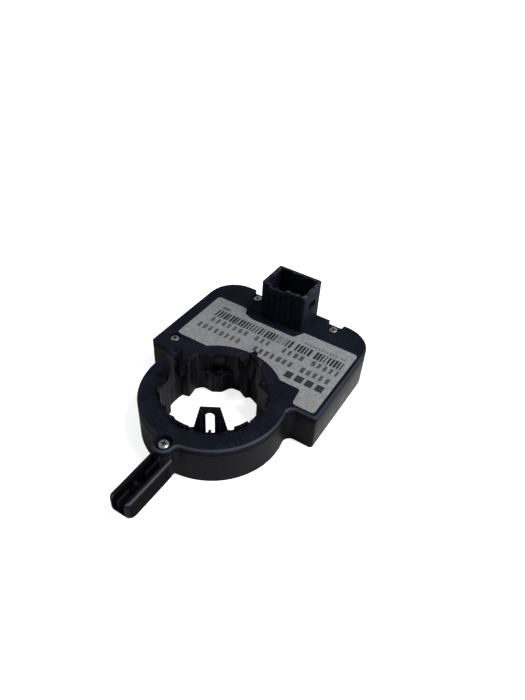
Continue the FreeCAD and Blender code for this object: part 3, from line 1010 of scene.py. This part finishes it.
class SoftShell:
    """A copy of a solid with rounded edges, which stands in for the solid."""

    WELD_DISTANCE = 0.001 * MM
    FLAT_ANGLE = 0.5
    FOLD_ANGLE = 28.0
    SHARP_ANGLE = 40.0

    def __init__(self, palette: Palette, node: str, body: Body, slot: str) -> None:
        """Copies a solid and merges its corners.

        Args:
            palette: The finishes.
            node: The solid's name.
            body: The body that it rides on.
            slot: Its material slot.
        """
        self.palette = palette
        self.node = node
        self.body = body
        self.slot = slot
        Bench.take(frame["nodes"][node])
        bpy.ops.object.duplicate()
        self.copy = bpy.context.object
        bpy.ops.object.mode_set(mode="EDIT")
        bpy.ops.mesh.select_all(action="SELECT")
        bpy.ops.mesh.remove_doubles(threshold=self.WELD_DISTANCE)
        bpy.ops.mesh.dissolve_limited(angle_limit=math.radians(self.FLAT_ANGLE))
        bpy.ops.object.mode_set(mode="OBJECT")

    def soften(self, softening: Softening) -> int:
        """Rounds the edges that a test picks.

        Args:
            softening: The edges and their radius.

        Returns:
            How many edges were picked.
        """
        Bench.take(self.copy)
        bpy.ops.object.mode_set(mode="EDIT")
        places = [vertex.co / MM for vertex in self.copy.data.vertices]
        folds = self.folds()

        def wanted(edge: bpy.types.MeshEdge) -> bool:
            """Tells whether an edge is a fold that the test picks."""
            first, second = (places[index] for index in edge.vertices)
            return folds[edge.index] and softening.test(first, second)

        count = Bench.pick(self.copy, Element.EDGE, wanted)
        if count:
            radius = softening.radius * MM
            bpy.ops.mesh.bevel(offset=radius, segments=softening.steps, affect="EDGES", clamp_overlap=True)
        bpy.ops.object.mode_set(mode="OBJECT")
        return count

    def folds(self) -> List[bool]:
        """Looks for edges where the surface turns sharply.

        Returns:
            True for each such edge, in the mesh's order.
        """
        mesh = self.copy.data
        sides: Dict[Tuple[int, int], List[Vector]] = {}
        for face in mesh.polygons:
            for key in face.edge_keys:
                sides.setdefault(key, []).append(face.normal)
        least = math.radians(self.FOLD_ANGLE)
        found = []
        for edge in mesh.edges:
            normals = sides.get(edge.key, [])
            found.append(len(normals) == 2 and normals[0].angle(normals[1], 0.0) > least)
        return found

    def finish(self) -> bpy.types.Object:
        """Paints the copy and lets it replace the solid.

        Returns:
            The copy.
        """
        name = self.node + "_soft"
        made = Bench.settle(self.copy, name, self.body, self.slot, self.palette, self.SHARP_ANGLE)
        Bench.take(made)
        even = made.modifiers.new("even", "WEIGHTED_NORMAL")
        even.keep_sharp = True
        bpy.ops.object.modifier_apply(modifier=even.name)
        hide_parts(self.node)
        return made


@dataclass
class CaseShell:
    """The base with its arm, and the cover with its connector shroud, in millimetres."""

    palette: Palette
    cover_top: float = 19.5
    chamfer: float = 0.8
    shroud_top: float = 39.9
    rim_depth: float = 1.7
    cover_radius: float = 0.34
    rim_radius: float = 0.2
    base_radius: float = 0.3
    ring_edge: float = 31.0
    ring_end: float = 14.0
    boss_place: float = -34.0
    boss_recess: float = 3.8
    side_edge: float = 42.0
    notch_edge: float = 70.9
    shroud_middle: float = 0.5
    shroud_half: float = 11.0
    back_edge: float = 73.5

    def build(self) -> None:
        """Rounds the cover's top edge, the shroud's rim and the base's lower edge."""
        cover = SoftShell(self.palette, "top_cover", Body.CASE, "cover_plastic")
        plan = (
            Softening(self.cover_radius, self.outline_at(self.cover_top)),
            Softening(self.cover_radius, self.outline_at(self.cover_top - self.chamfer)),
            Softening(self.rim_radius, lambda a, b: min(a.z, b.z) > self.shroud_top - self.rim_depth),
        )
        counts = [cover.soften(part) for part in plan]
        cover.finish()
        LOG.info("cover rounded, edges: %s", counts)
        base = SoftShell(self.palette, "housing_base", Body.CASE, "base_plastic")
        count = base.soften(Softening(self.base_radius, self.outline_at(0.0)))
        base.finish()
        LOG.info("base rounded, edges: %d", count)

    def outline_at(self, height: float) -> Callable[[Vector, Vector], bool]:
        """Makes a test for the edges of the case's outline at one height.

        Args:
            height: The height in millimetres.

        Returns:
            A test of an edge's two corners.
        """

        def test(first: Vector, second: Vector) -> bool:
            """Tells whether both corners are on the outline at the height."""
            return all(at_level(corner, height) and self.outer(corner) for corner in (first, second))

        return test

    def outer(self, corner: Vector) -> bool:
        """Tells whether a corner is on the case's outline and not at a hole.

        Args:
            corner: Its place in millimetres.

        Returns:
            True on the ring, the sides and the back.
        """
        in_boss = math.hypot(corner.x, corner.y - self.boss_place) <= self.boss_recess
        ring = math.hypot(corner.x, corner.y) > self.ring_edge and corner.y < self.ring_end and not in_boss
        beside_shroud = abs(corner.x - self.shroud_middle) >= self.shroud_half
        side = abs(corner.x) > self.side_edge or corner.y > self.notch_edge and beside_shroud
        return ring or side or corner.y > self.back_edge


@dataclass
class ClipHub:
    """The turning hub, in millimetres."""

    palette: Palette
    collar_level: float = 19.3
    collar_radius: float = 0.16
    key_level: float = 10.6
    key_radius: float = 0.3

    def build(self) -> None:
        """Rounds the collar's rim, the clip tabs and the drive keys."""
        hub = SoftShell(self.palette, "rotor_hub", Body.HUB, "hub_plastic")
        level = self.key_level
        plan = (
            Softening(self.collar_radius, lambda a, b: min(a.z, b.z) > self.collar_level),
            Softening(self.key_radius, lambda a, b: at_level(a, level) and at_level(b, level)),
        )
        counts = [hub.soften(part) for part in plan]
        hub.finish()
        LOG.info("hub rounded, edges: %s", counts)


@dataclass
class Insides:
    """What the closed case holds, the label, the connector's pins and the solids of the screws."""

    palette: Palette
    softened: Tuple[str, ...] = ("housing_base", "top_cover", "rotor_hub")

    def dress(self) -> None:
        """Paints every node that has no softened copy with the finish of its slot."""
        slots = {entry["node"]: entry["material_slot"] for entry in frame["record"]["subparts"]}
        for name, node in frame["nodes"].items():
            if name in self.softened:
                continue
            self.palette.paint(node, slots[name])
            LOG.info("node dressed: %s", name)


@dataclass
class PanScrew:
    """One pan-head screw with a cross recess, in millimetres."""

    palette: Palette
    name: str
    head_radius: float = 2.45
    head_height: float = 1.5
    head_rings: Tuple[float, ...] = (0.12, 0.30, 0.50)
    crown: float = 0.60
    shank_radius: float = 1.1
    point_length: float = 0.6
    point_share: float = 0.45
    recess_radius: float = 1.6
    recess_half_width: float = 0.42
    recess_depth: float = 1.1
    recess_taper: float = 0.55
    recess_lip: float = 0.1
    recess_reach: float = 1.02
    recess_turns: Tuple[float, ...] = (20.0, 110.0)
    recess_shade_slot: str = "recess_painted_shade"

    def build(self) -> bpy.types.Object:
        """Models the screw over its solid.

        Returns:
            The screw, which stands for its solid.
        """
        low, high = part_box(self.name)
        middle = (low + high) / 2
        head_low = high.z - self.head_height * MM
        screw = self.head(middle, head_low)
        self.shank(screw, middle, head_low - low.z)
        self.cut_recess(screw, middle, high.z)
        Bench.settle(screw, self.name + "_head", Body.CASE, "screw_steel", self.palette)
        self.paint_recess_shade(screw, middle, head_low, high.z)
        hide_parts(self.name)
        return screw

    def head(self, middle: Vector, foot: float) -> bpy.types.Object:
        """Models the domed head.

        Args:
            middle: The screw's axis.
            foot: The height of the head's underside in metres.

        Returns:
            The head.
        """
        Bench.clear()
        bpy.ops.mesh.primitive_cylinder_add(
            vertices=48,
            radius=self.head_radius * MM,
            depth=self.head_height * MM,
            location=(middle.x, middle.y, foot + self.head_height / 2 * MM),
        )
        screw = bpy.context.object
        bpy.ops.object.mode_set(mode="EDIT")
        Bench.pick(screw, Element.FACE, lambda face: face.normal.z > 0.9)
        for reach in self.head_rings:
            bpy.ops.mesh.inset(thickness=reach * MM, depth=0.0)
        bpy.ops.object.mode_set(mode="OBJECT")
        for vertex in screw.data.vertices:
            radius = math.hypot(vertex.co.x, vertex.co.y) / MM
            if vertex.co.z > 0:
                share = min(1.0, radius / self.head_radius)
                vertex.co.z -= self.crown * share ** 4 * MM
        return screw

    def shank(self, screw: bpy.types.Object, middle: Vector, length: float) -> None:
        """Draws the shank and its point down from the head.

        Args:
            screw: The screw.
            middle: Its axis.
            length: The length below the head in metres.
        """
        point = self.point_length * MM
        bpy.ops.object.mode_set(mode="EDIT")
        Bench.pick(screw, Element.FACE, lambda face: face.normal.z < -0.9)
        bpy.ops.mesh.inset(thickness=(self.head_radius - self.shank_radius) * MM)
        for step in (length - point, point):
            bpy.ops.mesh.extrude_region_move(TRANSFORM_OT_translate={"value": (0, 0, -step)})
        narrow = (self.point_share, self.point_share, 1.0)
        bpy.ops.transform.resize(value=narrow, center_override=(middle.x, middle.y, 0))
        bpy.ops.object.mode_set(mode="OBJECT")

    def cut_recess(self, screw: bpy.types.Object, middle: Vector, top: float) -> None:
        """Sinks a cross into the head.

        Args:
            screw: The screw.
            middle: The screw's axis.
            top: The height of its crown in metres.
        """
        halves = (self.recess_radius, self.recess_half_width, self.recess_depth)
        narrow = (self.recess_taper, self.recess_taper, 1.0)
        for turn in self.recess_turns:
            Bench.clear()
            turned = (0, 0, math.radians(turn))
            bpy.ops.mesh.primitive_cube_add(size=1.0, location=(middle.x, middle.y, top), rotation=turned)
            blade = bpy.context.object
            blade.scale = tuple(2 * half * MM for half in halves)
            bpy.ops.object.transform_apply(location=True, rotation=True, scale=True)
            bpy.ops.object.mode_set(mode="EDIT")
            Bench.pick(blade, Element.FACE, lambda face: face.normal.z < -0.9)
            bpy.ops.transform.resize(value=narrow, center_override=(middle.x, middle.y, top))
            Bench.take(screw)
            cut = screw.modifiers.new("recess", "BOOLEAN")
            cut.operation = "DIFFERENCE"
            cut.object = blade
            bpy.ops.object.modifier_apply(modifier=cut.name)
            bpy.data.objects.remove(blade)

    def paint_recess_shade(self, screw: bpy.types.Object, middle: Vector, foot: float, top: float) -> None:
        """Paints shade on the faces inside the cross with a dark metal.

        Args:
            screw: The screw.
            middle: Its axis.
            foot: The height of the head's underside in metres.
            top: The height of its crown in metres.
        """
        screw.data.materials.append(self.palette.by_slot[self.recess_shade_slot])
        # Painted shade: the faces sunk inside the cross take the dark metal.
        for face in screw.data.polygons:
            reach = math.hypot(face.center.x - middle.x, face.center.y - middle.y)
            sunk = foot < face.center.z < top - self.recess_lip * MM
            face.material_index = int(sunk and reach < self.recess_radius * self.recess_reach * MM)


@dataclass(frozen=True)
class PhotoCamera:
    """The photograph's camera, fitted to points of the object. Angles in degrees, place in millimetres."""

    yaw: float = -29.32
    pitch: float = 41.59
    roll: float = -3.98
    place: Triple = (101.88, -140.94, 198.66)
    lens: float = 29.42
    sensor: float = 36.0

    def build(self) -> bpy.types.Object:
        """Adds the camera and makes it the scene's.

        Returns:
            The camera.
        """
        yaw, pitch, roll = (math.radians(angle) for angle in (self.yaw, self.pitch, self.roll))
        ahead = Vector((math.sin(yaw) * math.cos(pitch), math.cos(yaw) * math.cos(pitch), -math.sin(pitch)))
        right = Vector((math.cos(yaw), -math.sin(yaw), 0.0))
        down = ahead.cross(right)
        across = right * math.cos(roll) + down * math.sin(roll)
        below = down * math.cos(roll) - right * math.sin(roll)
        Bench.clear()
        bpy.ops.object.camera_add()
        camera = bpy.context.object
        camera.name = "photo_camera"
        camera.data.lens = self.lens
        camera.data.sensor_width = self.sensor
        camera.data.clip_start = 0.01
        camera.data.clip_end = 20.0
        turn = Matrix((across, -below, -ahead)).transposed().to_4x4()
        camera.matrix_world = Matrix.Translation(Vector(self.place) * MM) @ turn
        bpy.context.scene.camera = camera
        return camera


@dataclass(frozen=True)
class SoftLamp:
    """A large square soft lamp. Place, aim and size in metres."""

    name: str
    place: Triple
    size: float
    watts: float
    aim: Triple = (0.0, 0.02, 0.0)

    def build(self) -> bpy.types.Object:
        """Adds the lamp.

        Returns:
            The lamp.
        """
        Bench.clear()
        bpy.ops.object.light_add(type="AREA", location=self.place)
        lamp = bpy.context.object
        lamp.name = self.name
        lamp.data.shape = "RECTANGLE"
        lamp.data.size = self.size
        lamp.data.size_y = self.size
        lamp.data.energy = self.watts
        toward = Vector(self.aim) - Vector(self.place)
        lamp.rotation_euler = toward.to_track_quat("-Z", "Y").to_euler()
        return lamp


LAMPS: Tuple[SoftLamp, ...] = (
    SoftLamp("lamp_key", (0.49, 0.16, 1.08), size=0.22, watts=8.4),
    SoftLamp("lamp_right", (0.80, 0.25, 0.35), size=0.5, watts=5.2),
    SoftLamp("lamp_left_front", (-0.6, -0.8, 0.5), size=0.6, watts=0.7),
)


@dataclass
class Studio:
    """Floor, world and lamps, in metres."""

    floor_size: float = 6.0
    floor_colour: Colour = (0.8, 0.8, 0.8)
    floor_glow: float = 0.75
    sky: float = 0.29
    sky_colour: Colour = (0.96, 0.98, 1.0)
    white: Colour = (1.0, 1.0, 1.0)

    def world(self) -> None:
        """Makes a plain world that the camera sees as white and the object as a dimmer sky."""
        world = bpy.data.worlds.new("plain_world")
        bpy.context.scene.world = world
        world.use_nodes = True
        tree = world.node_tree
        tree.nodes.clear()
        output = tree.nodes.new("ShaderNodeOutputWorld")
        path = tree.nodes.new("ShaderNodeLightPath")
        mixed = tree.nodes.new("ShaderNodeMixShader")
        tree.links.new(path.outputs["Is Camera Ray"], mixed.inputs[0])
        for index, colour, strength in ((1, self.sky_colour, self.sky), (2, self.white, 1.0)):
            light = tree.nodes.new("ShaderNodeBackground")
            light.inputs["Color"].default_value = (*colour, 1.0)
            light.inputs["Strength"].default_value = strength
            tree.links.new(light.outputs[0], mixed.inputs[index])
        tree.links.new(mixed.outputs[0], output.inputs["Surface"])

    def floor(self) -> None:
        """Lays a plain pale floor that keeps the object's shadow."""
        Bench.clear()
        bpy.ops.mesh.primitive_plane_add(size=self.floor_size, location=(0, 0, 0))
        floor = bpy.context.object
        floor.name = "floor"
        recipe = Recipe("pale_floor")
        matt = recipe.node("ShaderNodeBsdfDiffuse", None, {"Color": self.floor_colour}).outputs[0]
        glow = recipe.node("ShaderNodeEmission", None, {"Color": self.white, "Strength": self.floor_glow})
        both = recipe.node("ShaderNodeAddShader", None, {0: matt, 1: glow.outputs[0]}).outputs[0]
        seen = recipe.node("ShaderNodeLightPath").outputs["Is Camera Ray"]
        chosen = recipe.node("ShaderNodeMixShader", None, {0: seen, 1: matt, 2: both})
        recipe.feed(recipe.output.inputs["Surface"], chosen.outputs[0])
        floor.data.materials.append(recipe.material)

    def build(self) -> None:
        """Builds the studio."""
        bpy.context.scene.view_settings.view_transform = "Standard"
        self.world()
        self.floor()
        for lamp in LAMPS:
            lamp.build()
        LOG.info("studio ready, lamps: %d", len(LAMPS))


def main() -> None:
    """Builds the scene in order."""
    logging.basicConfig(level=logging.INFO, format="%(name)s: %(message)s")
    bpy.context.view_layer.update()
    PhotoCamera().build()
    palette = Palette()
    CaseShell(palette).build()
    ClipHub(palette).build()
    Insides(palette).dress()
    for name in sorted(frame["nodes"]):
        if name.startswith("screw_"):
            PanScrew(palette, name).build()
            LOG.info("screw modelled: %s", name)
    Studio().build()


if __name__ == "__main__":
    main()
